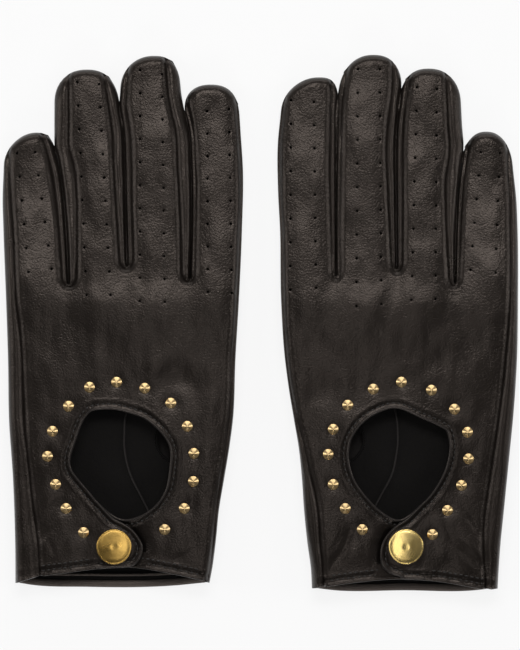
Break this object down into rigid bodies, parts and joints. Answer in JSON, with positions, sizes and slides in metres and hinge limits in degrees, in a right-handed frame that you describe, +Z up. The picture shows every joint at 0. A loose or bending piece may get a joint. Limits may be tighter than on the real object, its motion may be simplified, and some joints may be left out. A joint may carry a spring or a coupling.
{
  "type": "driving gloves",
  "caption": "Short black leather driving gloves with perforated finger backs, a back opening ringed by cone studs, and a wrist tab closed by a domed brass snap.",
  "frame": {"origin": "middle of the pair on the table plane, half way along the gloves", "axes": "+X from the left glove to the right glove, +Y from the wrists to the fingertips, +Z up out of the backs"},
  "size_m": [0.2084, 0.2138, 0.0162],
  "materials": {
    "glove_leather": "satin",
    "edge_leather": "satin",
    "inner_leather": "matte suede",
    "snap_brass": "polished",
    "stud_brass": "polished"
  },
  "bodies": {
    "left_glove_body": {"left_back_panel": "glove_leather", "left_palm_panel": "glove_leather", "left_thumb_gusset": "glove_leather", "left_fourchette_little_ring": "glove_leather", "left_fourchette_ring_middle": "glove_leather", "left_fourchette_middle_index": "glove_leather", "left_keyhole_binding": "edge_leather", "left_back_hem": "inner_leather", "left_palm_hem": "inner_leather", "left_underlap": "glove_leather", "left_snap_stud": "snap_brass", "left_snap_post": "snap_brass", "left_cone_studs": "stud_brass", "left_stud_washers": "stud_brass"},
    "left_thumb_body": {"left_thumb": "glove_leather", "left_thumb_welt": "edge_leather"},
    "left_tab_body": {"left_wrist_tab": "glove_leather", "left_tab_facing": "inner_leather", "left_snap_cap": "snap_brass", "left_snap_socket": "snap_brass", "left_snap_spring": "snap_brass"},
    "right_glove_body": {"right_back_panel": "glove_leather", "right_palm_panel": "glove_leather", "right_thumb_gusset": "glove_leather", "right_fourchette_little_ring": "glove_leather", "right_fourchette_ring_middle": "glove_leather", "right_fourchette_middle_index": "glove_leather", "right_keyhole_binding": "edge_leather", "right_back_hem": "inner_leather", "right_palm_hem": "inner_leather", "right_underlap": "glove_leather", "right_snap_stud": "snap_brass", "right_snap_post": "snap_brass", "right_cone_studs": "stud_brass", "right_stud_washers": "stud_brass"},
    "right_thumb_body": {"right_thumb": "glove_leather", "right_thumb_welt": "edge_leather"},
    "right_tab_body": {"right_wrist_tab": "glove_leather", "right_tab_facing": "inner_leather", "right_snap_cap": "snap_brass", "right_snap_socket": "snap_brass", "right_snap_spring": "snap_brass"}
  },
  "joints": [
    {"name": "right_glove_slide", "type": "slide", "parent": "left_glove_body", "child": "right_glove_body", "axis": [1, 0, 0], "range_m": [0, 0.1]},
    {"name": "left_tab_fold", "type": "hinge", "parent": "left_glove_body", "child": "left_tab_body", "pos_m": [-0.0664, -0.08934, 0.0136], "axis": [0, -1, 0], "range_deg": [0, 100]},
    {"name": "left_thumb_swing", "type": "hinge", "parent": "left_glove_body", "child": "left_thumb_body", "pos_m": [-0.0322, -0.04694, 0.004], "axis": [0, 0, -1], "range_deg": [0, 45]},
    {"name": "right_tab_fold", "type": "hinge", "parent": "right_glove_body", "child": "right_tab_body", "pos_m": [0.0664, -0.08934, 0.0136], "axis": [0, 1, 0], "range_deg": [0, 100]},
    {"name": "right_thumb_swing", "type": "hinge", "parent": "right_glove_body", "child": "right_thumb_body", "pos_m": [0.0322, -0.04694, 0.004], "axis": [0, 0, 1], "range_deg": [0, 45]}
  ]
}
